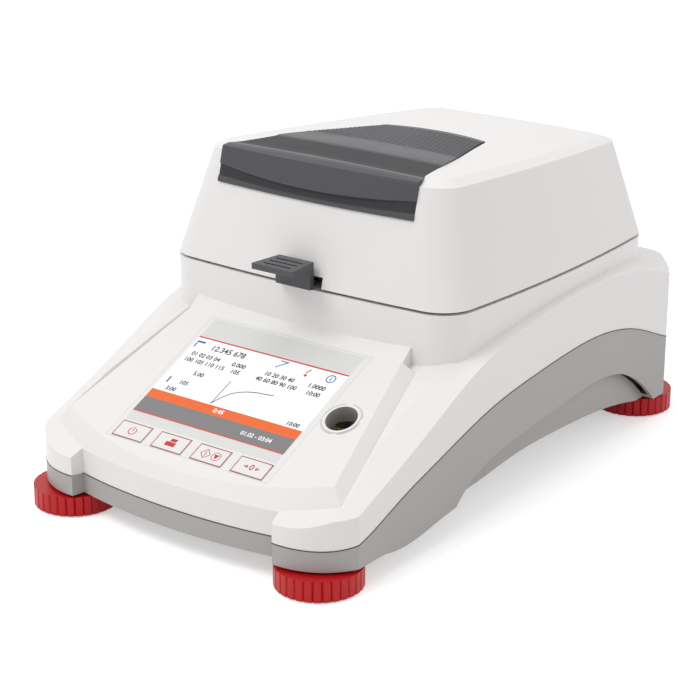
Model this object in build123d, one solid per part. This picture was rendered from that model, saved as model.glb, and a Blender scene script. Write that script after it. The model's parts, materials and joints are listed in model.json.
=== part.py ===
"""Halogen moisture analyzer: hinged heating lid over a weighing chamber, with a sloping display panel.

Millimetres, +Z up, +Y to the rear. The origin is the centre of the footprint, on the table.
"""
import os
from math import cos, radians, sin

from build123d import *

os.makedirs("parts", exist_ok=True)

# Overall size and the levelling feet
WIDTH = 210.0
DEPTH = 350.6
WALL = 2.6
FOOT_R = 22.6
FOOT_X = WIDTH / 2 - FOOT_R
FOOT_Y = DEPTH / 2 - FOOT_R
FOOT_TOP = 11.6
LOBE_Z = 13.0
STUD_R = 4.0
BUSH_R = 6.5

# Base: side profiles as (y, z)
SIDE_X = 104.5
DECK_X = 90.0
RIDGE = [(-174, 30), (-149.8, 40.8), (-115.7, 55.2), (-82.2, 70.8), (-47.1, 86.5), (-10.1, 95), (29.3, 100.7),
         (70.3, 101.8), (114.9, 97.9), (146.3, 88.6), (174, 76)]
DECK = [(-174, 36), (-149.8, 47), (-115.7, 62.5), (-82.2, 78), (-47.1, 92), (-10.1, 100), (29.3, 104.5),
        (70.3, 106.6), (114.9, 107.5), (146.3, 101), (174, 88)]
SEAM = [(-180, 25.9), (-148.9, 25.9), (-115.7, 37.6), (-81.7, 48.3), (-36.7, 61), (11.3, 67.8), (51.3, 71),
        (73.3, 70.8), (109.3, 64.5), (130.3, 56.7), (147.8, 49.4), (180, 44)]
BELLY = [(-128, LOBE_Z), (-110, 11), (-77.7, 15), (-38.7, 18.3), (0.3, 22.2), (40, 22.4), (91.3, 19.4),
         (128, LOBE_Z)]

# Sloping display panel
SLOPE = 25.4
PANEL_Y = -60.9
PANEL_Z = 93.3
PANEL = Plane(origin=(0, PANEL_Y, PANEL_Z), x_dir=(1, 0, 0), z_dir=(0, -sin(radians(SLOPE)), cos(radians(SLOPE))))
GROOVE = 6.0
FILM_U = 59.5
FILM_W = 108.0
FILM_L = 94.8
SCREEN = (-0.5, 57.4, 101.0, 59.8)
KEY_W = 20.3
KEY_L = 10.8
KEY_PITCH = 26.7
KEY_X0 = -40.35
KEY_U = 100.7
KEY_GAP = 0.3
LEVEL_X = 64.7
LEVEL_U = 55.9
LEVEL_R = 8.5

# Heating chamber and lid
NECK_TOP = 114.0
LID_Z = 115.6
CORNER_X = 94.85
FRONT_Y = -60.9
REAR_Y = 138.5
CHAMBER_Y = 22.0
CHAMBER_R = 62.0
CHAMBER_Z = 78.0
PAN_R = 45.0
HINGE_Y = 136.0
HINGE_Z = 123.0
HINGE_X = 40.0
PIN_R = 1.5
ROCKER_Y = 160.6
ROCKER_Z = 67.5


def box(x0, x1, y0, y1, z0, z1):
    return Pos((x0 + x1) / 2, (y0 + y1) / 2, (z0 + z1) / 2) * Box(x1 - x0, y1 - y0, z1 - z0)


def rod(x, y, z0, z1, r):
    return Pos(x, y, (z0 + z1) / 2) * Cylinder(r, z1 - z0)


def tube(x, y, z0, z1, r_out, r_in):
    return rod(x, y, z0, z1, r_out) - rod(x, y, z0 - 1, z1 + 1, r_in)


def on_panel(x, u, h, shape):
    """Places a shape on the panel: u runs down the slope from the neck, h is the height above it."""
    return PANEL * Pos(x, -u, h) * shape


def under_curve(points, x, low=-20.0, drop=0.0):
    """Face in the plane X = x between a side profile and a level below it."""
    curve = [(x, y, z - drop) for y, z in points]
    first, last = curve[0], curve[-1]
    sides = Polyline(last, (x, 182, last[2]), (x, 182, low), (x, -182, low), (x, -182, first[2]), first)
    return make_face([Spline(*curve), sides])


def slab_under(points, half, low=-20.0, drop=0.0):
    return extrude(under_curve(points, -half, low, drop), amount=2 * half, dir=(1, 0, 0))


def footprint(inset=0.0):
    """Plan of the base: straight sides, a lobe over each foot and shallow bowed panels front and rear."""
    edges = []
    for s in (-1, 1):
        edges.append(ThreePointArc((-66, s * 163.2), (0, s * 169.9), (66, s * 163.2)))
        for t in (-1, 1):
            edges.append(Line((t * 66, s * 163.2), (t * 67.4, s * 170.5)))
            edges.append(ThreePointArc((t * 67.4, s * 170.5), (t * 90.2, s * 165.0), (t * SIDE_X, s * 149.6)))
    for t in (-1, 1):
        edges.append(Line((t * SIDE_X, -149.6), (t * SIDE_X, 149.6)))
    face = make_face(edges)
    return offset(face, amount=-inset) if inset else face


def bowed(wf, wr, yf, yr, bow_side, bow_front, bow_rear, r):
    """Rounded outline with bowed sides: wf and wr are the half widths at the front and rear corners."""
    mid = (wf + wr) / 2 + bow_side
    edges = [
        ThreePointArc((-wf, yf), (0, yf - bow_front), (wf, yf)),
        ThreePointArc((wf, yf), (mid, (yf + yr) / 2), (wr, yr)),
        ThreePointArc((wr, yr), (0, yr + bow_rear), (-wr, yr)),
        ThreePointArc((-wr, yr), (-mid, (yf + yr) / 2), (-wf, yf)),
    ]
    face = make_face(edges)
    return fillet(face.vertices(), r)


def neck_outline(inset=0.0):
    return bowed(CORNER_X - inset, CORNER_X - inset, FRONT_Y + inset, REAR_Y - inset, 5.5, 4, 3, 20 - inset)


def plateau_face(spread, reach, height):
    """Outline of the raised display panel at a height above its plane, wider by spread and longer by reach."""
    front = (88.5 + spread, -96.6 - spread)
    rear = (71.5 + spread, -9.9)
    face = make_face([
        ThreePointArc((-front[0], front[1]), (0, -116 - reach), front),
        Line(front, rear),
        Line(rear, (-rear[0], rear[1])),
        Line((-rear[0], rear[1]), (-front[0], front[1])),
    ])
    return PANEL * Pos(0, 0, height) * face


def upper_body(inset=0.0):
    """Outside of the white upper housing, or with an inset the space inside it."""
    plan = extrude(footprint(inset), amount=130)
    body = slab_under(DECK, DECK_X, drop=inset)
    for s in (-1, 1):
        body += loft([under_curve(DECK, s * DECK_X, drop=inset), under_curve(RIDGE, s * (SIDE_X + 0.01), drop=inset)],
                     ruled=True)
    body = body & plan
    wedge = Polygon((-103.2 + inset, -180), (103.2 - inset, -180), (78.6 - inset, PANEL_Y + 0.01),
                    (-78.6 + inset, PANEL_Y + 0.01), align=None)
    bed = on_panel(0, 60, 40 - GROOVE - inset, Box(260, 170, 80))
    body -= extrude(wedge, amount=140) & bed
    under = plateau_face(6.5 - inset, 10.5 - inset, -GROOVE - inset)
    raised = loft([under, plateau_face(-inset, -inset, -inset)], ruled=True)
    raised += extrude(under, amount=5, dir=PANEL.z_dir * -1)
    body += raised & plan
    ramp = Polyline((0, -71, 82), (0, -71, 88.4 - inset), (0, -62.5, 95.2 - inset), (0, -55, 95.2 - inset),
                    (0, -55, 82), close=True)
    ramp = extrude(make_face(ramp.edges()), amount=72 - inset, dir=(1, 0, 0), both=True)
    body += ramp - on_panel(0, 0, 14 - inset, Box(300, 60, 20))
    neck = Pos(0, 0, 60) * extrude(neck_outline(inset), amount=NECK_TOP - inset - 60)
    return body + neck


def above_seam(gap=0.0):
    return box(-120, 120, -178, 178, -10, 200) - slab_under([(y, z + gap) for y, z in SEAM], 125)


def top_housing():
    shell = upper_body() - upper_body(WALL)
    for x in (-76, 76):
        for y in (-104, 108):
            shell += rod(x, y, 42, 150, 4.5) & upper_body(1.0)
    shell = shell & above_seam(0.15)
    for x in (-76, 76):
        for y in (-104, 108):
            shell -= rod(x, y, 30, 56, 1.5)
            shell -= rod(x, y, 30, 41.9, 6)
    shell -= rod(0, CHAMBER_Y, 90, 130, CHAMBER_R)
    shell -= box(-82, 82, 126, 150, 112, 120)
    x, u, w, l = SCREEN
    shell -= on_panel(x, u, -2, Box(w + 0.4, l + 0.4, 8))
    shell -= on_panel(0, FILM_U, 0, Box(FILM_W + 0.2, FILM_L + 0.2, 1.2))
    shell -= on_panel(LEVEL_X, LEVEL_U, 0, Cylinder(LEVEL_R + 1.5, 40))
    for i in range(4):
        shell -= on_panel(KEY_X0 + i * KEY_PITCH, KEY_U, -2, Box(KEY_W + 2 * KEY_GAP, KEY_L + 2 * KEY_GAP, 8))
    for i in range(9):
        shell -= box(-52 + i * 13, -45 + i * 13, 150, 180, 84, 86.5)
    for port in rear_ports():
        shell -= port
    return shell


def seat(x):
    """How far the bowed rear panel stands behind y = 163 at x."""
    return 0.2 + 6.7 * (1 - (x / 66) ** 2)


def rear_ports():
    """Openings for the inlet, the switch, the serial port and the USB port."""
    return [box(-58.2, -29.8, 146, 180, 56, 79), box(-19.2, -2.8, 146, 180, 56.5, 78.5),
            box(12, 44, 146, 180, 60, 74), box(51, 64, 146, 180, 61, 73)]


def lower_body(inset=0.0):
    plan = extrude(footprint(inset), amount=120)
    return plan & slab_under(SEAM, 125) - slab_under([(y, z + inset) for y, z in BELLY], 126, low=-30)


def scoop(depth):
    """Finger recess in each side of the lower housing, under a flat arch."""
    arch = make_face([
        Spline((0, -70, 13), (0, -51.7, 27), (0, -3.7, 37.2), (0, 55.3, 43.5), (0, 93.3, 41.7), (0, 130.3, 20.7),
               (0, 138, 13)),
        Polyline((0, 138, 13), (0, 138, 0), (0, -70, 0), (0, -70, 13)),
    ])
    return [Pos(s * (SIDE_X - depth) if s > 0 else -SIDE_X - 5, 0, 0) * extrude(arch, amount=depth + 5, dir=(1, 0, 0))
            for s in (-1, 1)]


def bottom_housing():
    shell = lower_body()
    for cut in scoop(7.0):
        shell -= cut
    inside = lower_body(WALL)
    for cut in scoop(7.0 + WALL):
        inside -= cut
    lift = box(-120, 120, -180, 180, 0, LOBE_Z + WALL)
    shell -= inside - lift
    for x in (-FOOT_X, FOOT_X):
        for y in (-FOOT_Y, FOOT_Y):
            shell += rod(x, y, LOBE_Z, 32, 9)
            shell -= rod(x, y, 0, 40, BUSH_R)
    for x in (-76, 76):
        for y in (-104, 108):
            shell += rod(x, y, 13, 41.9, 5)
            shell -= rod(x, y, 0, 60, 1.8)
            shell -= rod(x, y, 0, 19, 3.8)
    shell += box(-15, 15, 42, 70, 22, 34)
    for x in (-56, 56):
        for y in (-142, -86):
            shell += rod(x, y, 14, 26, 3)
        for y, foot in ((78, 20.5), (128, 14)):
            shell += rod(x, y, foot, 30, 3)
    for i in range(8):
        shell -= box(-49 + i * 13, -42 + i * 13, -30, 20, 10, 40)
    for port in rear_ports():
        shell -= port
    return shell


def foot_parts(tag, x, y):
    pad = rod(x, y, 0, 2, 18) + rod(x, y, 2, 8, 3)
    wheel = rod(x, y, 0.8, FOOT_TOP, FOOT_R) - rod(x, y, 0, 2.4, 18.4) - rod(x, y, 2, 8.4, 3.06)
    for i in range(30):
        wheel -= Pos(x, y, 6.2) * Rot(0, 0, i * 12) * Pos(FOOT_R + 0.1, 0, 0) * Rot(0, 0, 45) * Box(1.2, 1.2, 12)
    wheel += rod(x, y, FOOT_TOP, 34, STUD_R)
    bush = tube(x, y, LOBE_Z, 32, BUSH_R, STUD_R + 0.06)
    return {"foot_pad_" + tag: pad, "foot_wheel_" + tag: wheel, "foot_bush_" + tag: bush}


def housing_screws():
    screws = []
    for x in (-76, 76):
        for y in (-104, 108):
            screws.append(rod(x, y, 15.5, 19, 3.4) + rod(x, y, 19, 54, 1.5))
    return Compound(children=screws)


def panel_parts():
    x, u, w, l = SCREEN
    film = on_panel(0, FILM_U, -0.3, Box(FILM_W, FILM_L, 0.6))
    film -= on_panel(x, u, 0, Box(w, l, 4))
    for i in range(4):
        film -= on_panel(KEY_X0 + i * KEY_PITCH, KEY_U, 0, Box(KEY_W + 2 * KEY_GAP, KEY_L + 2 * KEY_GAP, 4))
    film -= on_panel(LEVEL_X, LEVEL_U, 0, Cylinder(LEVEL_R + 1.5, 4))
    parts = {"panel_overlay": film}
    parts["display_glass"] = on_panel(x, u, -0.8, Box(w, l, 1.8))
    module = on_panel(x, u, -5.2, Box(w + 8, l + 6, 5.0)) - on_panel(x, u, -2.7, Box(w, l, 1.0))
    parts["display_module"] = module
    for i, name in enumerate(("power", "print", "start", "tare")):
        cap = on_panel(KEY_X0 + i * KEY_PITCH, KEY_U, -1.3, Box(KEY_W, KEY_L, 3.0))
        cap += on_panel(KEY_X0 + i * KEY_PITCH, KEY_U, -3.6, Cylinder(2.5, 1.6))
        parts["key_" + name] = cap
    board = on_panel(-0.3, KEY_U, -6.4, Box(102, 10, 1.6))
    for i in range(4):
        board += on_panel(KEY_X0 + i * KEY_PITCH, KEY_U, -5.35, Box(6, 6, 0.5))
    parts["key_board"] = board
    return parts


def level_parts():
    well = on_panel(LEVEL_X, LEVEL_U, -5.8, Cylinder(LEVEL_R + 1.5, 12.4))
    well -= on_panel(LEVEL_X, LEVEL_U, -5.0, Cylinder(LEVEL_R, 11.4))
    centre = PANEL * Pos(LEVEL_X, -LEVEL_U, -8.4)
    c = centre.position
    well += rod(c.X, c.Y, c.Z - 1.5, c.Z - 0.2, 5.2) & on_panel(LEVEL_X, LEVEL_U, -5.8, Cylinder(LEVEL_R + 1, 12.4))
    vial = rod(c.X, c.Y, c.Z - 0.2, c.Z + 3.2, 5.2)
    return {"level_well": well, "level_vial": vial}


def chamber_parts():
    y = CHAMBER_Y
    dish = rod(0, y, CHAMBER_Z, NECK_TOP, CHAMBER_R) - rod(0, y, CHAMBER_Z + 1.5, NECK_TOP + 2, CHAMBER_R - 1.5)
    dish += tube(0, y, NECK_TOP, NECK_TOP + 0.8, CHAMBER_R + 5, CHAMBER_R - 1.5)
    dish -= rod(0, y, CHAMBER_Z - 1, CHAMBER_Z + 3, 8)
    shield = tube(0, y, CHAMBER_Z + 1.5, 100, 56, 54.5)
    ring = tube(0, y, 100, 102, 57, 47)
    arm = box(-7, 7, y - 60, y - 52, 100, 102) - rod(0, y, 90, 110, 50)
    arm = arm & rod(0, y, 90, 110, 59.5)
    arm += box(-7, 7, y - 58, y - 56, 100, 117.2)
    arm += box(-7, 7, -65.9, y - 56, 115.2, 117.2)
    grip = make_face(Polyline((-13.6, -86.2), (13.6, -86.2), (11.5, -65.9), (-11.5, -65.9), close=True).edges())
    grip = Pos(0, 0, 126.7) * extrude(grip, amount=3.2)
    grip += box(-11.5, 11.5, -69.2, -65.9, 115.2, 127)
    for i in range(3):
        grip -= box(-9, 9, -82.5 + 5 * i, -81 + 5 * i, 129.1, 131)
    return {"chamber_dish": dish, "draft_shield": shield, "pan_handler": ring + arm, "pan_handler_grip": grip}


def weighing_parts():
    y = CHAMBER_Y
    cell = box(-13, 13, -30, 70, 34, 60) - Pos(0, 20, 47) * Rot(0, 90, 0) * Cylinder(7, 40)
    cell -= box(-20, 20, 4, 36, 45, 49)
    spindle = rod(0, y, 61, 90, 4) + rod(0, y, 90, 95.4, 2.5)
    support = rod(0, y, 90, 96, 8) - rod(0, y, 89, 95.4, 2.5)
    for a in (0, 60, 120):
        support += Pos(0, y, 96.5) * Rot(0, 0, a) * Box(80, 6, 1)
    pan = rod(0, y, 97, 104.5, PAN_R) - rod(0, y, 97.8, 106, PAN_R - 0.8)
    pan += tube(0, y, 103.7, 104.5, PAN_R + 4, PAN_R - 0.8)
    return {"weigh_cell": cell, "weigh_spindle": spindle, "pan_support": support, "sample_pan": pan}


def electronics_parts():
    board = box(-62, 62, -148, -80, 26, 27.6)
    board += box(-20, 14, -130, -98, 27.6, 30)
    board += box(-52, -30, -140, -128, 27.6, 36)
    board += box(28, 56, -120, -100, 27.6, 33)
    supply = box(-62, 62, 73, 134, 30, 31.6)
    supply += box(-50, -8, 76, 112, 31.6, 58)
    supply += box(4, 40, 76, 96, 31.6, 44)
    for x in (12, 28, 44):
        supply += rod(x, 114, 31.6, 50, 7)
    inlet = box(-58, -30, 144, 164, 56.2, 78.8) + box(-60.5, -27.5, 163.1, 165.4, 54, 81)
    inlet -= box(-55.5, -32.5, 148, 170, 66, 77)
    inlet -= box(-55, -33, 146, 170, 57.6, 63.4)
    for x in (-51, -44, -37):
        inlet += box(x - 1, x + 1, 147, 162, 72.5, 76)
    drawer = box(-54.7, -33.3, 147, 165.8, 57.9, 63.1)
    parts = {"main_board": board, "power_supply": supply}
    parts["mains_inlet"] = Pos(0, seat(-28), 0) * inlet
    parts["fuse_drawer"] = Pos(0, seat(-28), 0) * drawer
    frame = box(-19, -3, 144, 164, 56.7, 78.3) + box(-21, -1, 163.1, 165, 54.5, 80.5)
    frame -= box(-17.2, -4.8, 147, 170, 58.7, 76.3)
    pivot = Pos(-11, ROCKER_Y, ROCKER_Z) * Rot(0, 90, 0)
    frame -= pivot * Cylinder(1.27, 14.6)
    rocker = make_face(Polyline((0, 164.6, 59.9), (0, 162.3, 67.5), (0, 166.7, 74.6), (0, 158.3, 74.6),
                                (0, 156.8, 72), (0, 155.8, 62.5), (0, 158.3, 59.9), close=True).edges())
    rocker = Pos(-16.6, 0, 0) * extrude(rocker, amount=11.2, dir=(1, 0, 0))
    rocker += pivot * Cylinder(1.2, 14.0)
    parts["switch_frame"] = Pos(0, seat(-4), 0) * frame
    parts["power_switch"] = Pos(0, seat(-4), 0) * rocker
    serial = box(12.2, 43.8, 152, 163.4, 60.2, 73.8) + box(10, 46, 163.1, 164.6, 58, 76)
    serial += box(18, 38, 164.6, 168.8, 62, 72)
    serial -= box(19, 37, 156, 170, 63, 71)
    parts["serial_port"] = Pos(0, seat(12), 0) * serial
    usb = box(51.2, 63.8, 150, 163.6, 61.2, 72.8) - box(52.6, 62.4, 153, 166, 62.6, 71.4)
    usb += box(53.2, 61.8, 152, 161.5, 67.5, 69.5)
    parts["usb_port"] = Pos(0, seat(54), 0) * usb
    return parts


def tilted(face, z0, slope):
    """Lifts a flat outline onto a plane that falls towards the rear."""
    lean = Pos(0, 0, z0) * Rot(-slope, 0, 0)
    return lean * face


def lid_body(inset=0.0):
    i = inset
    foot = Pos(0, 0, LID_Z) * neck_outline(i)
    edge = tilted(bowed(80.5 - i, 66.5 - i, -46 + i, 151 - i, 3.4, 4, 3, 17 - i), 171.9 - 0.5 * i, 3.9)
    brow = tilted(bowed(73.5 - i, 60 - i, -39.5 + i, 145 - i, 3.2, 3.5, 3, 12 - i), 174.9 - i, 4.2)
    crown = tilted(bowed(42 - i, 36 - i, -16 + i, 112 - i, 2, 2, 2, 9 - i), 176.9 - i, 4.0)
    return loft([foot, edge, brow, crown], ruled=True)


def grip_window():
    """Plan of the dark insert that wraps from the lid's front over its top."""
    plan = make_face([
        Polyline((-34.6, 59), (-48.7, 13), (-56, -16), (-61, -36), (-64.5, -44), (-66.4, -75), (66.4, -75), (64.5, -44),
                 (61, -36), (56, -16), (48.7, 13), (34.6, 59)),
        ThreePointArc((34.6, 59), (0, 64), (-34.6, 59)),
    ])
    return Pos(0, 0, 158) * extrude(plan, amount=40)


def lid_parts():
    y = CHAMBER_Y
    outer = lid_body()
    inner = lid_body(WALL)
    patch = (lid_body(-1.0) - lid_body(3.6)) & grip_window()
    patch -= box(-62, 62, -70, -50.2, 162.5, 167.5)
    for k in range(8):
        yy = -12 + 8.5 * k
        patch -= box(-70, 70, yy, yy + 1.6, 150, 200) - lid_body(0.2)
    shell = outer - inner - grip_window()
    shell -= box(-15.5, 15.5, -75, -50, 110, 121.5)
    for s in (-1, 1):
        shell -= box(s * HINGE_X - 14, s * HINGE_X + 14, 130, 160, 110, 129)
    liner = box(-120, 120, -80, 160, 120, 122.5) & inner
    liner -= rod(0, y, 110, 130, 55)
    for s in (-1, 1):
        liner -= box(s * HINGE_X - 14, s * HINGE_X + 14, 128, 160, 110, 130)
    ring = tube(0, y, 118.2, 120, 60, 52)
    glass = rod(0, y, 120, 122.5, 54.8)
    cup = Pos(0, y, 134.5) * Cone(62, 50, 24) - Pos(0, y, 132.9) * Cone(61.4, 48.8, 24.8)
    cup -= rod(0, y, 140, 150, 2.1)
    for x in (-10, 10):
        cup -= rod(x, y + 34.6, 140, 150, 2.05)
    lamp = Pos(0, y, 0) * revolve(Plane.XZ * Pos(36, 132) * RegularPolygon(4, 12), axis=Axis.Z)
    for x in (-10, 10):
        lamp += rod(x, y + 34.6, 131, 150, 2.05)
    sensor = rod(0, y, 124, 152, 2) + rod(0, y, 146.6, 152, 4)
    pieces = []
    for s in (-1, 1):
        x = s * HINGE_X
        barrel = Pos(x, HINGE_Y, HINGE_Z) * Rot(0, 90, 0) * Cylinder(3.0, 10)
        leaf = box(x - 5, x + 5, 112, HINGE_Y, HINGE_Z - 0.5, HINGE_Z + 2)
        pad = box(x - 5, x + 5, 112, 126, 122.5, HINGE_Z + 2)
        hole = Pos(x, HINGE_Y, HINGE_Z) * Rot(0, 90, 0) * Cylinder(PIN_R + 0.06, 20)
        pieces.append(barrel + leaf + pad - hole)
    arms = Compound(children=pieces)
    return {"lid_shell": shell, "lid_grip": patch, "lid_liner": liner, "glass_ring": ring,
            "protective_glass": glass, "reflector": cup, "halogen_lamp": lamp, "temperature_sensor": sensor,
            "lid_hinge_arms": arms}


def hinge_parts():
    brackets = []
    pins = []
    for s in (-1, 1):
        x = s * HINGE_X
        plate = box(x - 11, x + 11, 128, 139, 110.4, 112)
        piece = plate
        for e in (-1, 1):
            xe = x + e * 8
            ear = box(xe - 1.5, xe + 1.5, 133, 139, 111, HINGE_Z)
            ear += Pos(xe, HINGE_Y, HINGE_Z) * Rot(0, 90, 0) * Cylinder(3.0, 3)
            piece += ear
        piece += box(x - 11, x + 11, 128, 139, 112, 113.2)
        piece -= box(x - 20, x + 20, 120, 145, 110, 112)
        piece -= Pos(x, HINGE_Y, HINGE_Z) * Rot(0, 90, 0) * Cylinder(PIN_R, 40)
        brackets.append(piece)
        pins.append(Pos(x, HINGE_Y, HINGE_Z) * Rot(0, 90, 0) * Cylinder(PIN_R, 20))
    return {"hinge_brackets": Compound(children=brackets), "hinge_pins": Compound(children=pins)}


nodes = {"bottom_housing": bottom_housing(), "top_housing": top_housing(), "housing_screws": housing_screws()}
nodes.update(panel_parts())
nodes.update(level_parts())
nodes.update(chamber_parts())
nodes.update(weighing_parts())
nodes.update(electronics_parts())
nodes.update(lid_parts())
nodes.update(hinge_parts())
for tag, sx, sy in (("fl", -1, -1), ("fr", 1, -1), ("rl", -1, 1), ("rr", 1, 1)):
    nodes.update(foot_parts(tag, sx * FOOT_X, sy * FOOT_Y))

for name, shape in nodes.items():
    export_step(shape, "parts/" + name + ".step")
    print(name, len(shape.solids()), round(shape.volume))
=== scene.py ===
# %% [markdown]
# A halogen moisture analyzer is a small bench instrument: a weighing pan under a hinged heating lid, with a
# sloping display in front. The CAD model is loaded first and stays fixed. Everything below dresses it:
# finishes for its solids, and new pieces for what the solids leave out, such as the prints on the panel and
# the ribbed grip.

# %% Load the CAD frame
import json
import math

import bmesh
import bpy
from mathutils import Matrix, Vector


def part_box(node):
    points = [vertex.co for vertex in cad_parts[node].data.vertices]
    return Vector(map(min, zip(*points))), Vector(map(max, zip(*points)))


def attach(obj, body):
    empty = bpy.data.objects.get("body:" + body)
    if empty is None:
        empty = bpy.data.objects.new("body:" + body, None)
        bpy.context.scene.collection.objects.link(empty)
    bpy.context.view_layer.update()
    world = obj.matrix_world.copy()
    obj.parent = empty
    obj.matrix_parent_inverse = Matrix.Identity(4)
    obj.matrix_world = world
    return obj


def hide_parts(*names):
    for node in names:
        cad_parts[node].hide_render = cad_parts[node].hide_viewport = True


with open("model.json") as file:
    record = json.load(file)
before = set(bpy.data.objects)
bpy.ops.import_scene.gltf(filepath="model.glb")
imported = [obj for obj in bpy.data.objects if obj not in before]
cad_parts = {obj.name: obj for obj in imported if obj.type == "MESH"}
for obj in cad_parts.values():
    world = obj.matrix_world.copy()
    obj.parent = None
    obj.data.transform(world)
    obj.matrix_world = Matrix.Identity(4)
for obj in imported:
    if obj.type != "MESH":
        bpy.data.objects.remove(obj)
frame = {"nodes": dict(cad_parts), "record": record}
nodes = frame["nodes"]
scene = bpy.context.scene
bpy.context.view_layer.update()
MM = 0.001

# %% [markdown]
# A picture of a product is usually taken from a step or two away with a long lens, so that parallel edges
# hardly converge. The camera stands to the right of the front and looks down on the instrument. A shorter
# lens closer by would frame it as well, but the lid would then look too large for the feet.

# %% Camera
LOOKS_DOWN = math.radians(19.73)
STANDS_RIGHT = math.radians(37.31)
camera_data = bpy.data.cameras.new("camera")
camera_data.lens = 103.9
camera_data.sensor_width = 36.0
camera_data.clip_start = 0.05
camera = bpy.data.objects.new("camera", camera_data)
camera.location = (0.6353, -0.8533, 0.4416)
camera.rotation_euler = (math.radians(90) - LOOKS_DOWN, 0, STANDS_RIGHT)
scene.collection.objects.link(camera)
scene.camera = camera
print("camera lens", round(camera_data.lens, 1), "mm,", round(camera.location.length, 2), "m away")

# %% [markdown]
# Two small helpers serve every material. The first adds a shader node together with its values and links,
# and the second turns a colour as a designer writes it, in sRGB, into the linear light that a renderer
# works with.

# %% Helpers for nodes and colours


def add_node(tree, kind, links=(), **settings):
    """Adds a node, sets its values, and links each (input name, output socket) pair."""
    node = tree.nodes.new(kind)
    for name, value in settings.items():
        if name in node.inputs and not hasattr(node, name):
            node.inputs[name].default_value = value
        else:
            setattr(node, name, value)
    for name, source in links:
        tree.links.new(source, node.inputs[name])
    return node


def hex_to_linear(code):
    """An sRGB hex colour as linear red, green, blue and alpha."""
    values = [int(code[i:i + 2], 16) / 255 for i in (0, 2, 4)]
    return [v / 12.92 if v <= 0.04045 else ((v + 0.055) / 1.055) ** 2.4 for v in values] + [1.0]


print("mid grey in linear light", round(hex_to_linear("808080")[0], 3))

# %% [markdown]
# A white background could be made by turning the lamps up until everything behind the object burns out, but
# then the white plastic burns out too. So the world is two things: an even grey light for the object, and
# plain white for rays that see it directly, in a reflection or through glass. Light Path tells the two
# apart.

# %% Backdrop


def seen_as_white(tree):
    """Socket that is 1 for camera, glossy and transmission rays, and 0 for the light on the object."""
    paths = add_node(tree, "ShaderNodeLightPath")
    direct = add_node(tree, "ShaderNodeMath", [(0, paths.outputs["Is Camera Ray"])], operation="MAXIMUM")
    tree.links.new(paths.outputs["Is Glossy Ray"], direct.inputs[1])
    seen = add_node(tree, "ShaderNodeMath", [(0, direct.outputs[0])], operation="MAXIMUM")
    tree.links.new(paths.outputs["Is Transmission Ray"], seen.inputs[1])
    return seen.outputs[0]


scene.view_settings.view_transform = "Standard"
world = bpy.data.worlds.new("studio")
scene.world = world
world.use_nodes = True
tree = world.node_tree
tree.nodes.clear()
ambient = add_node(tree, "ShaderNodeBackground", Color=(1, 1, 1, 1), Strength=0.6)
backdrop = add_node(tree, "ShaderNodeBackground", Color=(1, 1, 1, 1), Strength=1.0)
mixed = add_node(tree, "ShaderNodeMixShader", [("Fac", seen_as_white(tree))])
tree.links.new(ambient.outputs[0], mixed.inputs[1])
tree.links.new(backdrop.outputs[0], mixed.inputs[2])
add_node(tree, "ShaderNodeOutputWorld", [("Surface", mixed.outputs[0])])
print("world nodes", len(tree.nodes))

# %% [markdown]
# Large round lamps give the soft, broad highlights of a photo studio. The strongest stands in front and to
# the left, a wide one hangs above, and a weak one from the right keeps the shaded side from going flat. A
# small lamp would draw hard shadows on so pale an object.

# %% Lamps


def add_lamp(name, place, target, size, watts):
    """A round lamp that points at a spot."""
    lamp = bpy.data.lights.new(name, "AREA")
    lamp.shape = "DISK"
    lamp.size = size
    lamp.energy = watts
    shown = bpy.data.objects.new(name, lamp)
    shown.location = place
    shown.rotation_euler = (Vector(target) - Vector(place)).to_track_quat("-Z", "Y").to_euler()
    scene.collection.objects.link(shown)


add_lamp("key_light", (-0.5, -1.0, 1.5), (0, 0, 0.08), 0.9, 12.5)
add_lamp("top_light", (0.0, 0.3, 1.7), (0, 0, 0.1), 1.2, 5.5)
add_lamp("rim_light", (1.5, 0.5, 0.9), (0, 0, 0.1), 0.8, 3)

# %% [markdown]
# The instrument stands on a roll of white paper. The lamps alone leave it a little grey, so it also has a
# faint glow that makes up the difference to white. A floor that only glowed would be simpler, but it could
# not hold a shadow. Under the feet, where little light gets in, this one stays darker.

# %% Floor
FLOOR_GLOW = 0.44
FLOOR_HALF_WIDTH = 3.0
PAPER_TOOTH = 2.0 * MM
floor_mesh = bpy.data.meshes.new("floor")
builder = bmesh.new()
bmesh.ops.create_grid(builder, x_segments=1, y_segments=1, size=FLOOR_HALF_WIDTH)
builder.to_mesh(floor_mesh)
builder.free()
floor = bpy.data.objects.new("floor", floor_mesh)
scene.collection.objects.link(floor)

floor_material = bpy.data.materials.new("white paper sweep")
floor_material.use_nodes = True
tree = floor_material.node_tree
tree.nodes.clear()
coords = add_node(tree, "ShaderNodeTexCoord")
fibre = add_node(tree, "ShaderNodeTexNoise", [("Vector", coords.outputs["Object"])],
                 Scale=1 / PAPER_TOOTH, Detail=2.0)
tooth = add_node(tree, "ShaderNodeBump", [("Height", fibre.outputs["Fac"])],
                 Strength=0.02, Distance=0.1 * MM)
paper = add_node(tree, "ShaderNodeBsdfDiffuse", [("Normal", tooth.outputs["Normal"])],
                 Color=(0.9, 0.9, 0.9, 1))
glow = add_node(tree, "ShaderNodeEmission", Color=(1, 1, 1, 1), Strength=FLOOR_GLOW)
lit = add_node(tree, "ShaderNodeAddShader")
tree.links.new(paper.outputs[0], lit.inputs[0])
tree.links.new(glow.outputs[0], lit.inputs[1])
mixed = add_node(tree, "ShaderNodeMixShader", [("Fac", seen_as_white(tree))])
tree.links.new(paper.outputs[0], mixed.inputs[1])
tree.links.new(lit.outputs[0], mixed.inputs[2])
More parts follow.
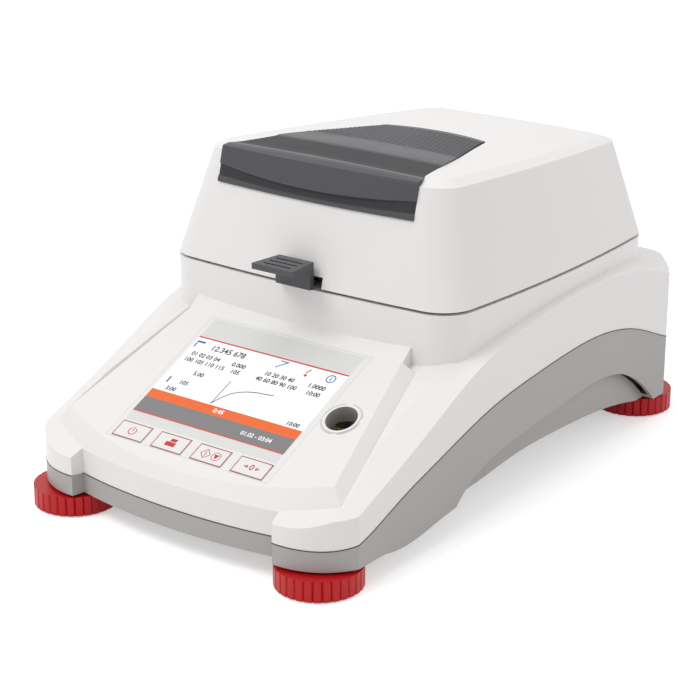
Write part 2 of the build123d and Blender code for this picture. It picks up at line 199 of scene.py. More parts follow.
add_node(tree, "ShaderNodeOutputMaterial", [("Surface", mixed.outputs[0])])
floor_mesh.materials.append(floor_material)
print("floor glow", FLOOR_GLOW)

# %% [markdown]
# Most of the instrument is injection-moulded plastic. The steel mould has a fine eroded grain, and the
# plastic copies it. That breaks up the highlight, so each plastic gets a slight bump. The real grain, of a
# tenth of a millimetre or so, is too fine to show here and is drawn a few times coarser. Its gloss also
# drifts a little over a few centimetres, as it does where a mould fills unevenly. Painting one flat colour
# would be quicker and would look like nothing in particular.

# %% A moulded finish
GLOSS_DRIFT_PER_METRE = 28.0


def moulded(name, colour, roughness, grain_mm, grain_depth, drift=0.06, ior=1.52, shine=0.5):
    """Moulded plastic: a spark-eroded grain and a little uneven gloss."""
    material = bpy.data.materials.new(name)
    material.use_nodes = True
    tree = material.node_tree
    shader = tree.nodes["Principled BSDF"]
    shader.inputs["Base Color"].default_value = hex_to_linear(colour)
    shader.inputs["IOR"].default_value = ior
    shader.inputs["Specular IOR Level"].default_value = shine
    coords = add_node(tree, "ShaderNodeTexCoord")
    grain = add_node(tree, "ShaderNodeTexNoise", [("Vector", coords.outputs["Object"])],
                     Scale=1 / (grain_mm * MM), Detail=2.0, Roughness=0.6)
    bump = add_node(tree, "ShaderNodeBump", [("Height", grain.outputs["Fac"])], Strength=grain_depth,
                    Distance=0.1 * MM)
    tree.links.new(bump.outputs["Normal"], shader.inputs["Normal"])
    cloud = add_node(tree, "ShaderNodeTexNoise", [("Vector", coords.outputs["Object"])],
                     Scale=GLOSS_DRIFT_PER_METRE, Detail=3.0)
    gloss = add_node(tree, "ShaderNodeMapRange", [("Value", cloud.outputs["Fac"])])
    gloss.inputs["To Min"].default_value = roughness - drift
    gloss.inputs["To Max"].default_value = roughness + drift
    tree.links.new(gloss.outputs["Result"], shader.inputs["Roughness"])
    return material


# %% Plastics, rubber and board
# The housings: ABS, satin, with a grain of half a millimetre.
white_abs = moulded("moulded white ABS", "E4E2E1", 0.42, 0.5, 0.12)
grey_abs = moulded("moulded warm grey ABS", "A5A2A0", 0.5, 0.5, 0.2)
# The parts near the heat: a filled plastic, darker and with less sheen. Its finger rest is nearly matt, and
# darker as painted shade.
dark_plastic = moulded("heat resistant dark grey plastic", "434347", 0.4, 0.6, 0.2, shine=0.4)
# Nearly matt is its own finish; its darker colour is painted shade in the finger rest and the recess.
matt_plastic_painted_shade = moulded("matt dark grey with painted shade", "2C2C2F", 0.6, 0.6, 0.3, shine=0.3)
# Wheels of dyed nylon, whose colour is deep because little light is reflected before it enters.
red_plastic = moulded("moulded red nylon", "B80C14", 0.36, 0.6, 0.12, shine=0.3)
# Sockets and switch: glass fibre near the surface makes a coarse grain.
black_plastic = moulded("black glass-filled nylon", "151515", 0.4, 0.6, 0.15)
# Foot pads: soft rubber has hardly any highlight.
rubber = moulded("black rubber", "101010", 0.75, 0.8, 0.3)
# The film over the panel is smoother than the housing around it.
film = moulded("printed polyester film", "E2E1DF", 0.36, 0.3, 0.05)
# Circuit boards: a glossy lacquer over copper and glass cloth.
board_material = moulded("green solder mask", "1F5A36", 0.35, 0.8, 0.1)
print("materials so far", len(bpy.data.materials))

# %% [markdown]
# A lit screen is a white surface that also gives off a little light, under glass that is almost mirror
# smooth. The glass could be a clear solid over a bright one. One opaque finish was chosen, because at this
# size the depth between the two doesn't show, and glass this thin only adds noise to the picture.

# %% Lit screen
SCREEN_GLOW = 0.1
screen_glass = moulded("lit liquid crystal screen under touch glass", "F3F5F5", 0.12, 3.0, 0.01, 0.04, 1.5)
screen_shader = screen_glass.node_tree.nodes["Principled BSDF"]
screen_shader.inputs["Emission Color"].default_value = (1, 1, 1, 1)
screen_shader.inputs["Emission Strength"].default_value = SCREEN_GLOW
print("screen glow", SCREEN_GLOW)

# %% [markdown]
# The metal pieces are plain sheet and turned parts. Rolling and turning leave fine parallel lines that pull
# the highlight out sideways. They are drawn as noise that is stretched along one axis, and steer both the
# gloss and a shallow bump. An anisotropic shader would do this too, but it needs tangents that the CAD
# solids don't have.

# %% Metals
LINE_STRETCH = (0.05, 1.0, 1.0)


def brushed(name, colour, roughness, line_mm):
    """Rolled or turned metal with fine lines along one axis."""
    material = bpy.data.materials.new(name)
    material.use_nodes = True
    tree = material.node_tree
    shader = tree.nodes["Principled BSDF"]
    shader.inputs["Base Color"].default_value = hex_to_linear(colour)
    shader.inputs["Metallic"].default_value = 1.0
    coords = add_node(tree, "ShaderNodeTexCoord")
    stretch = add_node(tree, "ShaderNodeMapping", [("Vector", coords.outputs["Object"])])
    stretch.inputs["Scale"].default_value = LINE_STRETCH
    lines = add_node(tree, "ShaderNodeTexNoise", [("Vector", stretch.outputs["Vector"])],
                     Scale=1 / (line_mm * MM), Detail=3.0)
    gloss = add_node(tree, "ShaderNodeMapRange", [("Value", lines.outputs["Fac"])])
    gloss.inputs["To Min"].default_value = roughness - 0.08
    gloss.inputs["To Max"].default_value = roughness + 0.08
    tree.links.new(gloss.outputs["Result"], shader.inputs["Roughness"])
    bump = add_node(tree, "ShaderNodeBump", [("Height", lines.outputs["Fac"])], Strength=0.08,
                    Distance=0.05 * MM)
    tree.links.new(bump.outputs["Normal"], shader.inputs["Normal"])
    return material


# Lines of 0.4 mm and more are coarser than real ones, which would be too fine to show here.
stainless = brushed("rolled stainless steel", "B9B9BB", 0.32, 0.4)
plated_steel = brushed("zinc plated steel", "A9ABAD", 0.38, 0.6)
aluminium = brushed("pressed aluminium", "C9CBCE", 0.3, 0.5)
reflector_sheet = brushed("bright reflector aluminium", "E0E0E0", 0.12, 0.8)
brass = brushed("turned brass", "C9A24F", 0.3, 0.5)
print("materials so far", len(bpy.data.materials))

# %% [markdown]
# Quartz glass shields the sample from the lamp, because window glass would crack in the heat. The level's
# vial holds a tinted fluid. Both are clear, with just a trace of haze.

# %% Glass


def clear_glass(name, colour, ior, roughness=0.03):
    """Clear glass or quartz with a trace of surface haze."""
    material = moulded(name, colour, roughness + 0.02, 4.0, 0.01, 0.02, ior)
    material.node_tree.nodes["Principled BSDF"].inputs["Transmission Weight"].default_value = 1.0
    return material


quartz = clear_glass("quartz glass", "F7F7F5", 1.46)
level_glass = clear_glass("level vial with green fluid", "C9DB6A", 1.45)
print("materials so far", len(bpy.data.materials))

# %% [markdown]
# Each solid of the CAD model names a material slot. One table says which finish stands for which slot, so
# that a change of finish reaches every solid made of it.

# %% Finishes on the CAD solids
FINISH = {
    "white_abs": white_abs,
    "grey_abs": grey_abs,
    "red_plastic": red_plastic,
    "dark_plastic": dark_plastic,
    "black_plastic": black_plastic,
    "rubber": rubber,
    "overlay_film": film,
    "key_cap": film,
    "display_module": film,
    "display_glass": screen_glass,
    "circuit_board": board_material,
    "stainless": stainless,
    "steel": plated_steel,
    "aluminium": aluminium,
    "polished": reflector_sheet,
    "brass": brass,
    "quartz": quartz,
    "level_fluid": level_glass,
}
for row in frame["record"]["subparts"]:
    solid = nodes[row["node"]]
    solid.data.materials.clear()
    solid.data.materials.append(FINISH[row["material_slot"]])
print("finished solids", len(nodes))

# %% [markdown]
# Everything printed on the panel lies on one plane that slopes down towards the operator. A matrix carries
# a flat print there: x to the right, u down the slope from the neck, h above the film, all in millimetres.
# Working in the panel's own measures is far easier than working out each print's place in the room.

# %% Places on the sloping panel
PANEL_SLOPE = math.radians(25.4)
PANEL_TOP = Vector((0, -60.9, 93.3)) * MM
FILM_TOP, GLASS_TOP, CAP_TOP = 0.0, 0.1, 0.2
PRINT = 0.05


def panel_place(x, u, h):
    """Matrix of a spot on the panel, in millimetres."""
    lean = Matrix.Translation(PANEL_TOP) @ Matrix.Rotation(PANEL_SLOPE, 4, "X")
    return lean @ Matrix.Translation(Vector((x, -u, h)) * MM)


print("panel normal", [round(v, 3) for v in panel_place(0, 0, 0).col[2][:3]])

# %% Helper that finishes a piece


def keep_piece(name, builder, material, body):
    """Turns a bmesh into a finished piece that rides on a body."""
    bmesh.ops.recalc_face_normals(builder, faces=builder.faces)
    mesh = bpy.data.meshes.new(name)
    builder.to_mesh(mesh)
    builder.free()
    mesh.materials.append(material)
    piece = bpy.data.objects.new(name, mesh)
    scene.collection.objects.link(piece)
    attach(piece, body)
    print(name, len(mesh.polygons), "faces on", body)
    return piece


# %% [markdown]
# A print is a layer of ink a few hundredths of a millimetre thick. It could be a pattern in the film's
# material, but fine lines in a pattern blur, and an exported mesh loses them. So each print is a thin
# solid: a bar from a cube, a ring from a small outline that is spun, a line from bars end to end, and any
# other shape from its corners.

# %% Helpers for bars and lines


def add_bar(builder, x, u, width, length, low, high, turn=0.0):
    """A flat print with square corners."""
    stretch = Matrix.Diagonal(Vector((width * MM, length * MM, (high - low) * MM, 1)))
    place = panel_place(x, u, (low + high) / 2) @ Matrix.Rotation(turn, 4, "Z")
    bmesh.ops.create_cube(builder, size=1.0, matrix=place @ stretch)


def add_line(builder, points, width, low, high):
    """A printed line through a few (x, u) points, whose bars overlap a little at the bends."""
    for (x0, u0), (x1, u1) in zip(points, points[1:]):
        run = math.hypot(x1 - x0, u1 - u0)
        turn = -math.atan2(u1 - u0, x1 - x0)
        add_bar(builder, (x0 + x1) / 2, (u0 + u1) / 2, run + width * 0.6, width, low, high, turn)


# %% Helpers for rings and corners


def add_ring(builder, x, u, radius, width, low, high, start=0.0, sweep=math.tau, steps=40):
    """A flat printed ring, or an arc of one with closed ends."""
    place = panel_place(x, u, 0)
    turned = Matrix.Rotation(start, 4, "Z")
    corners = [(radius, low), (radius + width, low), (radius + width, high), (radius, high)]
    verts = [builder.verts.new(place @ turned @ (Vector((r, 0, z)) * MM)) for r, z in corners]
    edges = [builder.edges.new((verts[i], verts[(i + 1) % 4])) for i in range(4)]
    full = math.isclose(sweep, math.tau)
    upwards = place.to_3x3() @ Vector((0, 0, 1))
    bmesh.ops.spin(builder, geom=verts + edges, cent=place.translation, axis=upwards, angle=sweep,
                   steps=steps, use_merge=full)
    if not full:
        bmesh.ops.holes_fill(builder, edges=[e for e in builder.edges if e.is_boundary], sides=4)


def add_corners(builder, points, low, high):
    """A flat print with straight sides between (x, u) corners."""
    base = builder.faces.new([builder.verts.new(panel_place(x, u, low).translation) for x, u in points])
    grown = bmesh.ops.extrude_face_region(builder, geom=[base], use_keep_orig=True)
    moved = [v for v in grown["geom"] if isinstance(v, bmesh.types.BMVert)]
    lift = panel_place(0, 0, high).translation - panel_place(0, 0, low).translation
    bmesh.ops.translate(builder, verts=moved, vec=lift)


# %% [markdown]
# Numbers come from a text curve, which Blender fills and thickens by itself. The curve is made a mesh
# before it is put in its place, so that the finished piece sits at the origin as the others do. A slight
# offset makes the strokes as heavy as those on a small screen.

# %% Helper for numbers
NUMERAL_SHARE = 0.69
STROKE_OFFSET = 0.07 * MM


def add_numerals(builder, text, height, x, u, low, high):
    """Printed numerals, centred on a spot and as tall as height."""
    curve = bpy.data.curves.new("numerals", "FONT")
    curve.body = text
    curve.size = height / NUMERAL_SHARE * MM
    curve.offset = STROKE_OFFSET
    curve.align_x = "CENTER"
    curve.align_y = "CENTER"
    curve.resolution_u = 3
    curve.extrude = (high - low) / 2 * MM
    shown = bpy.data.objects.new("numerals", curve)
    scene.collection.objects.link(shown)
    bpy.context.view_layer.update()
    mesh = bpy.data.meshes.new_from_object(shown.evaluated_get(bpy.context.evaluated_depsgraph_get()))
    mesh.transform(panel_place(x, u, (low + high) / 2))
    builder.from_mesh(mesh)
    bpy.data.objects.remove(shown)
    bpy.data.curves.remove(curve)
    bpy.data.meshes.remove(mesh)
    bmesh.ops.remove_doubles(builder, verts=builder.verts, dist=0.002 * MM)


# %% [markdown]
# Ink on film has the soft sheen of the film itself. The picture on the screen is light that comes through
# glass, so its colours are as smooth as the glass above them.

# %% Inks and screen colours
PIXELS = {"roughness": 0.2, "grain_mm": 2.0, "grain_depth": 0.01, "drift": 0.04}
INK = {"roughness": 0.4, "grain_mm": 0.3, "grain_depth": 0.04}
orange_light = moulded("orange screen pixels", "E8631C", **PIXELS)
grey_light = moulded("grey screen pixels", "7C7A7B", **PIXELS)
red_light = moulded("red screen pixels", "D2492F", **PIXELS)
ink_light = moulded("dark screen pixels", "2E3033", **PIXELS)
white_light = moulded("white screen pixels", "F6F6F6", **PIXELS)
slate_light = moulded("slate screen pixels", "5C6C86", **PIXELS)
blue_light = moulded("blue screen pixels", "2C62A8", **PIXELS)
band_ink = moulded("pale grey screen ink", "D5D5D4", **INK)
outline_ink = moulded("dark red screen ink", "A8282C", **INK)
symbol_ink = moulded("red screen ink", "C0272B", **INK)
grey_print = moulded("grey screen ink", "8E8F92", **INK)
print("materials in all", len(bpy.data.materials))

# %% [markdown]
# The screen shows a drying run: an orange bar for the step that runs, a grey bar for the time, two red
# rules, a curve and its readings. All of it is thin prints in two layers, so that numbers lie on top of the
# bars without flicker.

# %% Bars and rules on the screen
SCREEN_LEFT, SCREEN_RIGHT, SCREEN_TOP, SCREEN_BOTTOM = -51.0, 50.0, 27.5, 87.3
SCREEN_X = (SCREEN_LEFT + SCREEN_RIGHT) / 2
SCREEN_W = SCREEN_RIGHT - SCREEN_LEFT
LAYER_1 = (GLASS_TOP - 0.02, GLASS_TOP + PRINT)
LAYER_2 = (GLASS_TOP, GLASS_TOP + 2 * PRINT)
# A spun ring needs a hole, and one as small as this leaves a dot.
DOT_HOLE = 0.0001

progress = bmesh.new()
add_bar(progress, SCREEN_X, 73.3, SCREEN_W, 6.2, *LAYER_1)
keep_piece("screen_progress_bar", progress, orange_light, "base")

status = bmesh.new()
add_bar(status, SCREEN_X, 81.6, SCREEN_W, 10.4, *LAYER_1)
keep_piece("screen_status_bar", status, grey_light, "base")

rules = bmesh.new()
add_bar(rules, SCREEN_X, SCREEN_TOP + 0.5, SCREEN_W, 0.9, *LAYER_2)
add_bar(rules, SCREEN_X, SCREEN_BOTTOM - 0.3, SCREEN_W, 0.7, *LAYER_2)
add_ring(rules, 26.6, 35.0, DOT_HOLE, 0.9, *LAYER_2, steps=16)
add_line(rules, [(26.0, 33.2), (27.4, 30.6)], 0.7, *LAYER_2)
keep_piece("screen_red_rules", rules, red_light, "base")

# %% Numbers on the screen
# Each reading is its numbers, their height, and the spot they are centred on.
READINGS = [
    ("12.345 678", 3.6, -26.5, 33.6),
    ("01 02 03 04", 2.8, -37.0, 40.4),
    ("100 105 110 115", 2.8, -34.5, 45.2),
    ("0.000", 2.8, -14.0, 40.6),
    ("105", 2.8, -13.0, 45.4),
    ("10 20 30 40", 2.8, 13.5, 40.6),
    ("40 60 80 90 100", 2.8, 14.5, 45.2),
    ("1.0000", 2.8, 38.0, 40.6),
    ("10:00", 2.8, 39.0, 45.6),
    ("5.00", 2.8, -32.0, 53.4),
    ("105", 2.8, -36.0, 61.4),
    ("3:00", 2.8, -40.5, 67.4),
    ("10:00", 2.6, 42.0, 67.8),
]
PALE_READINGS = [("0:45", 2.8, -3.0, 73.2), ("01.02 - 03:04", 2.6, 28.5, 81.8)]
for name, readings, light in (("screen_readings", READINGS, ink_light),
                              ("screen_pale_readings", PALE_READINGS, white_light)):
    numbers = bmesh.new()
    for text, height, x, u in readings:
        add_numerals(numbers, text, height, x, u, *LAYER_2)
    keep_piece(name, numbers, light, "base")

# %% Curve and signs on the screen
CHART_CURVE = [(-11.2, 69.2), (-9.6, 66.2), (-7.6, 63.0), (-4.8, 59.8), (-1.2, 57.4), (3.6, 55.6),
               (9.6, 54.4), (19.0, 53.5)]
CHART_AXIS = [(-11.2, 69.6), (-10.8, 52.0)]
chart = bmesh.new()
add_line(chart, CHART_CURVE, 0.6, *LAYER_2)
add_line(chart, CHART_AXIS, 0.5, *LAYER_2)
keep_piece("screen_chart", chart, slate_light, "base")

PROFILE_SIGN = [(7.0, 29.8), (12.0, 29.8), (9.0, 32.4), (6.6, 34.8)]
INFO_X = 42.0
icons = bmesh.new()
add_ring(icons, INFO_X, 33.0, 2.3, 0.55, *LAYER_2, steps=28)
add_bar(icons, INFO_X, 33.5, 0.6, 1.7, *LAYER_2)
add_bar(icons, INFO_X, 31.7, 0.6, 0.6, *LAYER_2)
add_bar(icons, -46.8, 31.4, 5.6, 1.3, *LAYER_2)
add_bar(icons, -49.2, 34.0, 0.8, 3.4, *LAYER_2)
add_line(icons, PROFILE_SIGN, 0.6, *LAYER_2)
add_bar(icons, -46.4, 61.6, 1.0, 4.6, *LAYER_2)
keep_piece("screen_icons", icons, blue_light, "base")

# %% [markdown]
# The film is printed from behind, and above and below the screen it carries a band of pale grey as wide as
# the screen. The bands are a hair thicker than nothing, only so that they don't fight with the film for the
# same place.

# %% Grey bands on the film
FILM_INK = (FILM_TOP - 0.01, FILM_TOP + 0.03)
bands = bmesh.new()
add_bar(bands, SCREEN_X, 20.4, SCREEN_W, 14.0, *FILM_INK)
add_bar(bands, SCREEN_X, 90.6, SCREEN_W, 6.2, *FILM_INK)
keep_piece("film_grey_bands", bands, band_ink, "base")

# %% [markdown]
# The four keys are areas of the film with a small dome under each. A thin red outline shows where to press,
# and a symbol says what for: power, print, start or stop, and zero. Outline and symbol are pieces of their
# own that ride on the key, so they go down with it. Printed on the film, they would stay behind.

# %% Key outlines
KEY_W, KEY_L, KEY_U = 20.3, 10.8, 100.7
KEY_X = {"key_power": -40.35, "key_print": -13.65, "key_start": 13.05, "key_tare": 39.75}
OUTLINE = 0.42
KEY_INK = (CAP_TOP - 0.02, CAP_TOP + PRINT)


def key_outline(builder, x):
    """Four thin bars along the edges of a key."""
    for side in (-1, 1):
        add_bar(builder, x, KEY_U + side * (KEY_L - OUTLINE) / 2, KEY_W, OUTLINE, *KEY_INK)
        add_bar(builder, x + side * (KEY_W - OUTLINE) / 2, KEY_U, OUTLINE, KEY_L - 2 * OUTLINE, *KEY_INK)


for body, x in KEY_X.items():
    lines = bmesh.new()
    key_outline(lines, x)
    keep_piece(body + "_outline", lines, outline_ink, body)

# %% Key symbols


def power_symbol(builder, x):
    """An open ring with a bar in its gap."""
    add_ring(builder, x, KEY_U, 2.1, 0.5, *KEY_INK, start=math.radians(125), sweep=math.radians(290),
             steps=28)
    add_bar(builder, x, KEY_U - 1.5, 0.5, 2.8, *KEY_INK)


def print_symbol(builder, x):
    """A printer with a slanted sheet above it."""
    box = [(x - 3.2, 103.0), (x - 3.2, 100.2), (x + 3.2, 100.2), (x + 3.2, 103.0)]
    sheet = [(x - 1.6, 99.8), (x - 0.9, 97.8), (x + 3.0, 97.8), (x + 2.3, 99.8)]
    add_corners(builder, box, *KEY_INK)
    add_corners(builder, sheet, *KEY_INK)


def start_symbol(builder, x):
    """A diamond with a bar to start, and a ring with a triangle to stop."""
    left, middle, right = x - 6.4, x - 3.4, x - 0.4
    diamond = [(left, KEY_U), (middle, KEY_U - 3.0), (right, KEY_U), (middle, KEY_U + 3.0), (left, KEY_U)]
    triangle = [(x + 1.9, KEY_U - 1.2), (x + 5.3, KEY_U - 1.2), (x + 3.6, KEY_U + 1.9)]
    add_line(builder, diamond, 0.4, *KEY_INK)
    add_bar(builder, middle, KEY_U, 0.45, 3.0, *KEY_INK)
    add_ring(builder, x + 3.6, KEY_U, 2.5, 0.35, *KEY_INK, steps=28)
    add_corners(builder, triangle, *KEY_INK)


def tare_symbol(builder, x):
    """A zero between two arrows that point at it."""
    for side in (-1, 1):
        tip = x + side * 2.1
        head = [(tip, KEY_U), (tip + side * 1.5, KEY_U - 1.1), (tip + side * 1.5, KEY_U + 1.1)]
        add_bar(builder, x + side * 4.0, KEY_U, 2.2, 0.5, *KEY_INK)
        add_corners(builder, head, *KEY_INK)
    add_numerals(builder, "0", 3.6, x, KEY_U, *KEY_INK)


for (body, x), symbol in zip(KEY_X.items(), (power_symbol, print_symbol, start_symbol, tare_symbol)):
    mark = bmesh.new()
    symbol(mark, x)
    keep_piece(body + "_symbol", mark, symbol_ink, body)

# %% [markdown]
# The bubble level looks out of a round hole to the right of the screen. Four thin arcs are printed around
# it, and a white rim lies at the hole's edge. The rim is a spun outline with its corners bevelled, because
# a moulded edge is never quite sharp and the small round catches the light.

# %% Level rim and printed arcs
LEVEL_X, LEVEL_U, LEVEL_R = 64.7, 55.9, 8.5
ARC_STARTS = [20, 110, 200, 290]
ARC_SWEEP = math.radians(72)
ring = bmesh.new()
for start in ARC_STARTS:
    add_ring(ring, LEVEL_X, LEVEL_U, 10.6, 0.3, *FILM_INK, start=math.radians(start), sweep=ARC_SWEEP,
             steps=16)
keep_piece("level_printed_ring", ring, grey_print, "base")

RIM_ROUND = 0.08 * MM
rim = bmesh.new()
add_ring(rim, LEVEL_X, LEVEL_U, LEVEL_R + 0.05, 1.5, 0.28, 0.5, steps=48)
bmesh.ops.bevel(rim, geom=rim.edges[:], offset=RIM_ROUND, segments=2, profile=0.5, affect="EDGES",
                material=-1)
keep_piece("level_white_rim", rim, white_abs, "base")

# %% [markdown]
# The dark insert in the lid is the part that stays cool enough to touch. On the real one it is a separate
# heat-resistant moulding, clipped over the top and front of the lid, with fine ribs behind and a finger
# rest in front. It is one surface with a long profile, so it starts as a flat grid. Each row of the grid is
# one station of the profile, from the rear edge over the top and down the front, and each row is moved to
# its place. Cutting ribs out of a block would give the same look with far more work to keep the mesh
# closed.

# %% Tables of the grip insert
# Half of the width, and the height in the middle, at a few places from the rear to the front.
GRIP_PLAN = [(66, 33.4), (59, 34.6), (13, 48.7), (-16, 56), (-36, 61), (-41.5, 64), (-46, 64.7), (-60, 65)]
GRIP_TOP = [(66, 173.2), (54, 174.1), (45, 174.8), (37, 175.3), (28, 175.9), (20, 176.5), (11, 177.1),
            (3, 177.7), (-7, 178.4), (-14, 178.9), (-20, 179.1), (-60, 179.1)]


def between(table, at):
    """Value of a falling table at one place, straight between its rows."""
    for (a, va), (b, vb) in zip(table, table[1:]):
        if a >= at >= b:
            return va + (vb - va) * (a - at) / (a - b)
    return table[0][1] if at > table[0][0] else table[-1][1]


print("half width at the ledge", round(between(GRIP_PLAN, 0), 1), "mm")

# %% Stations of the grip insert
# A station on top has its place from rear to front and its height over the table. One on the front has its
# height in the middle and at the ends, and how far it stands back from the front face.
RIB_PITCH, RIB_TOP, RIB_SLOPE, RIB_DEPTH = 3.1, 1.3, 0.45, 0.9
stations = [("top", 63.8, 0.0), ("top", 62.4, 0.0)]
rib = 60.0
while rib > 12:
    stations += [("top", rib, 0.0), ("top", rib - RIB_TOP, 0.0),
                 ("top", rib - RIB_TOP - RIB_SLOPE, -RIB_DEPTH),
                 ("top", rib - RIB_PITCH + RIB_SLOPE, -RIB_DEPTH)]
    rib -= RIB_PITCH
stations += [("top", rib, 0.0), ("top", 8.0, 0.05), ("top", 7.0, -0.1), ("top", -6.0, -0.15),
             ("top", -12.0, -0.35), ("top", -14.0, -0.85), ("top", -24.0, -0.95), ("top", -34.0, -0.9),
             ("top", -40.0, -0.45), ("top", -43.5, -0.15), ("top", -46.0, -0.5)]
stations += [("front", 177.4, 177.4, 0.2), ("front", 176.0, 176.0, 0.0), ("front", 171.0, 172.6, -0.6),
             ("front", 166.0, 169.4, -1.2), ("front", 165.0, 168.8, -1.3), ("front", 164.4, 168.2, -1.0),
             ("front", 163.9, 167.5, 0.7), ("front", 163.2, 166.8, 0.85), ("front", 160.6, 162.2, 0.85),
             ("front", 160.1, 161.5, 0.6), ("front", 159.6, 161.0, 0.05), ("front", 158.1, 158.5, 0.0)]
print(len(stations), "stations")

# %% [markdown]
# Across its width the insert is crowned by less than a millimetre, its rear edge bows back, and its front
# face bulges towards the hand in the middle. All three change with the square of the distance from the
# middle, which is the simplest curve that is smooth there.

# %% Where a station lies
CROWN = 0.5
CROWN_AT = 52
REAR_BOW, BOW_START, BOW_LENGTH = 5.0, -10.0, 74.0
FRONT_FOOT, FRONT_FOOT_HEIGHT, FRONT_LEAN, FRONT_BOW = -55.3, 158, 0.261, 2.3
FRONT_HALF_WIDTH = 65.0
FRONT_LIMIT = -55.25
FRONT_WALL, TOP_WALL, HOLLOW_WALL, HOLLOW = 2.2, 1.3, 0.5, -0.3


def top_point(y, raised, across, inside):
    """A spot on the top of the insert, or on its underside."""
    half = between(GRIP_PLAN, y)
    bow = REAR_BOW * max(0.0, min(1.0, (y - BOW_START) / BOW_LENGTH)) * across ** 2
    plain = between(GRIP_TOP, y) - CROWN * (across * half / CROWN_AT) ** 2
    z = plain + raised
    wall = HOLLOW_WALL if raised < HOLLOW else TOP_WALL
    if inside:
        z = min(z, plain - RIB_DEPTH) - wall
    return Vector((across * half, y - bow, z))


def front_point(middle_z, end_z, back, across, inside):
    """A spot on the front face of the insert, or behind it."""
    z = middle_z + (end_z - middle_z) * across ** 2
    face = FRONT_FOOT + (z - FRONT_FOOT_HEIGHT) * FRONT_LEAN + FRONT_BOW * across ** 2
    swell = back * (1 - across ** 2) if back < 0 else back
    y = max(face + swell, FRONT_LIMIT)
    return Vector((across * FRONT_HALF_WIDTH, y + FRONT_WALL if inside else y, z))


def grip_point(station, across, inside):
    """Where a station lies at a share of the width from -1 to 1, on either side of the moulding."""
    if station[0] == "top":
        return top_point(station[1], station[2], across, inside)
    return front_point(*station[1:], across, inside)


print("front edge", [round(v, 1) for v in grip_point(stations[-1], 0, False)])

# %% [markdown]
# The outer and inner skins are two such grids. Bridging their open edges closes the moulding all round. The
# finger rest and the recess under the front face have a matt finish of their own, which follows the rows of
# the grid. Their darker colour is painted shade in these hollows.

# %% Grip insert
ACROSS = 40
LAST = len(stations) - 1
REST_FRONT, REST_REAR = -41, -12
RECESS_LOW, RECESS_HIGH = 160, 164.2


def is_matt_painted_shade(station):
    """Whether a station lies in the finger rest or in the recess, which are painted darker as shade."""
    if station[0] == "top":
        return REST_FRONT < station[1] < REST_REAR
    return RECESS_LOW < station[1] < RECESS_HIGH


MATT_PAINTED_SHADE_ROWS = [row for row, station in enumerate(stations) if is_matt_painted_shade(station)]


def grip_skin(builder, inside):
    """One skin of the moulding, whose finger rest and recess are matt and painted darker as shade."""
    made = bmesh.ops.create_grid(builder, x_segments=ACROSS, y_segments=LAST, size=1.0)["verts"]
    rows = {vert: round((1 - vert.co.y) / 2 * LAST) for vert in made}
    for face in {face for vert in made for face in vert.link_faces}:
        if all(rows[vert] in MATT_PAINTED_SHADE_ROWS for vert in face.verts):
            face.material_index = 1
    for vert in made:
        vert.co = grip_point(stations[rows[vert]], vert.co.x, inside) * MM


insert = bmesh.new()
grip_skin(insert, False)
grip_skin(insert, True)
bmesh.ops.bridge_loops(insert, edges=[edge for edge in insert.edges if edge.is_boundary])
print("closed insert", all(edge.is_manifold for edge in insert.edges))
grip_insert = keep_piece("lid_grip_ribbed", insert, dark_plastic, "lid")
# The second finish, on the finger rest and the recess, is matt and painted darker as shade.
grip_insert.data.materials.append(matt_plastic_painted_shade)
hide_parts("lid_grip")

# %% [markdown]
# A data plug is held by two screws that go into hex nuts beside its socket. Each nut is a six-sided bar
# with a blind hole. Its end face is inset, and the middle that is left is pushed in, so the hole is
# six-sided too, which is too small to notice. Cutting the hole with a boolean would do as well, but it
# leaves long thin triangles.

# %% One hex nut
NUT_RADIUS, NUT_HEIGHT, NUT_HOLE = 2.7 * MM, 3.2 * MM, 1.3 * MM
HOLE_DEPTH = 2.4 * MM


def add_nut(builder, place):
    """A six-sided nut with a blind hole, standing on a spot."""
    bar = bmesh.new()
    bmesh.ops.create_cone(bar, cap_ends=True, segments=6, radius1=NUT_RADIUS, radius2=NUT_RADIUS,
                          depth=NUT_HEIGHT)
    cap = max(bar.faces, key=lambda face: face.calc_center_median().z)
    bmesh.ops.inset_individual(bar, faces=[cap], thickness=NUT_RADIUS - NUT_HOLE - 0.2 * MM)
    grown = bmesh.ops.extrude_face_region(bar, geom=[cap])["geom"]
    pushed = [v for v in grown if isinstance(v, bmesh.types.BMVert)]
    bmesh.ops.translate(bar, verts=pushed, vec=(0, 0, -HOLE_DEPTH))
    bmesh.ops.delete(bar, geom=[cap], context="FACES_ONLY")
    bmesh.ops.transform(bar, matrix=place, verts=bar.verts)
    mesh = bpy.data.meshes.new("nut")
    bar.to_mesh(mesh)
    bar.free()
    builder.from_mesh(mesh)
    bpy.data.meshes.remove(mesh)


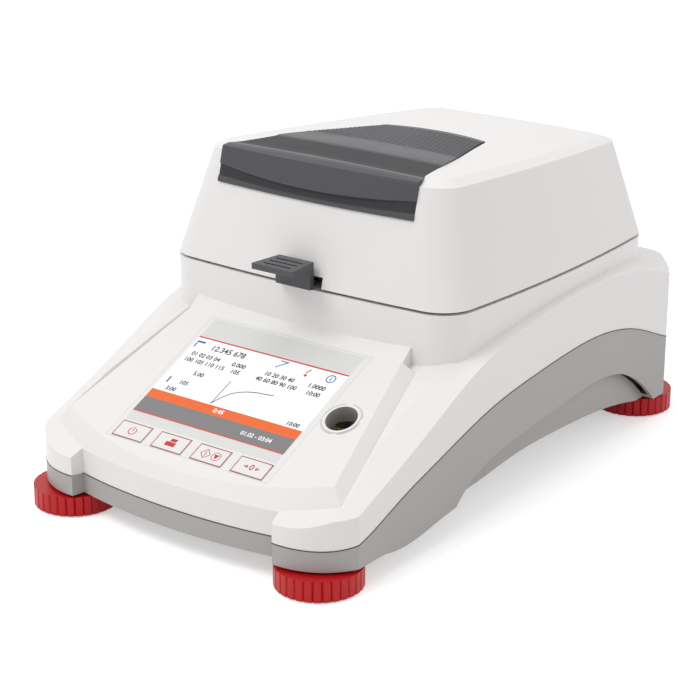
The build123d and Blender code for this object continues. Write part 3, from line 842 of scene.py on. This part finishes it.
# %% Nuts of the serial port
SHELL_HEIGHT = 4.2 * MM
NUT_SPACING = 14.0 * MM
port_low, port_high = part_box("serial_port")
middle = (port_low + port_high) / 2
flange = port_high.y - SHELL_HEIGHT
nuts = bmesh.new()
for side in (-1, 1):
    spot = Vector((middle.x + side * NUT_SPACING, flange + NUT_HEIGHT / 2, middle.z))
    add_nut(nuts, Matrix.Translation(spot) @ Matrix.Rotation(math.radians(-90), 4, "X"))
print("closed nuts", all(edge.is_manifold for edge in nuts.edges))
keep_piece("serial_port_nuts", nuts, plated_steel, "base")

# %% [markdown]
# Two mouldings never meet quite tight, and the shadow in the gap between the white and the grey housing
# shows as a thin dark line. The CAD solids touch, so that shadow is painted here, with short dark bars
# along the upper outer edge of the grey housing. That edge climbs over the arch, so no plane can cut it
# out. Instead every edge of a merged copy of the solid is kept that lies between a face that looks up and
# a wall that looks out.

# %% Edges along the parting gap
GAP_LOWEST = 20 * MM
SHORTEST = 0.05 * MM
LOOKS_UP = 0.4
UPRIGHT = 0.3


def on_gap(edge):
    """Whether an edge lies between a face that looks up and an outer wall."""
    if len(edge.link_faces) != 2 or edge.calc_length() < SHORTEST:
        return False
    upper, wall = sorted(edge.link_faces, key=lambda face: -face.normal.z)
    spot = (edge.verts[0].co + edge.verts[1].co) / 2
    outward = wall.normal.x * spot.x + wall.normal.y * spot.y
    faces_fit = upper.normal.z >= LOOKS_UP and abs(wall.normal.z) <= UPRIGHT
    return faces_fit and outward >= 0 and spot.z >= GAP_LOWEST


merged = bmesh.new()
merged.from_mesh(nodes["bottom_housing"].data)
bmesh.ops.remove_doubles(merged, verts=merged.verts, dist=0.001 * MM)
merged.normal_update()
gap_edges = [edge for edge in merged.edges if on_gap(edge)]
print("edges along the gap", len(gap_edges))

# %% Painted shadow of the parting gap
GAP_WIDTH = 0.45 * MM
# The dark bars are painted shadow of the gap, in the black nylon finish.
gap = bmesh.new()
for edge in gap_edges:
    start, end = (vert.co for vert in edge.verts)
    along = (end - start).to_track_quat("Z", "Y").to_matrix().to_4x4()
    stretch = Matrix.Diagonal(Vector((GAP_WIDTH, GAP_WIDTH, edge.calc_length() + GAP_WIDTH / 2, 1)))
    place = Matrix.Translation((start + end) / 2)
    bmesh.ops.create_cube(gap, size=1.0, matrix=place @ along @ stretch)
merged.free()
keep_piece("housing_parting_gap_painted_shadow", gap, black_plastic, "base")
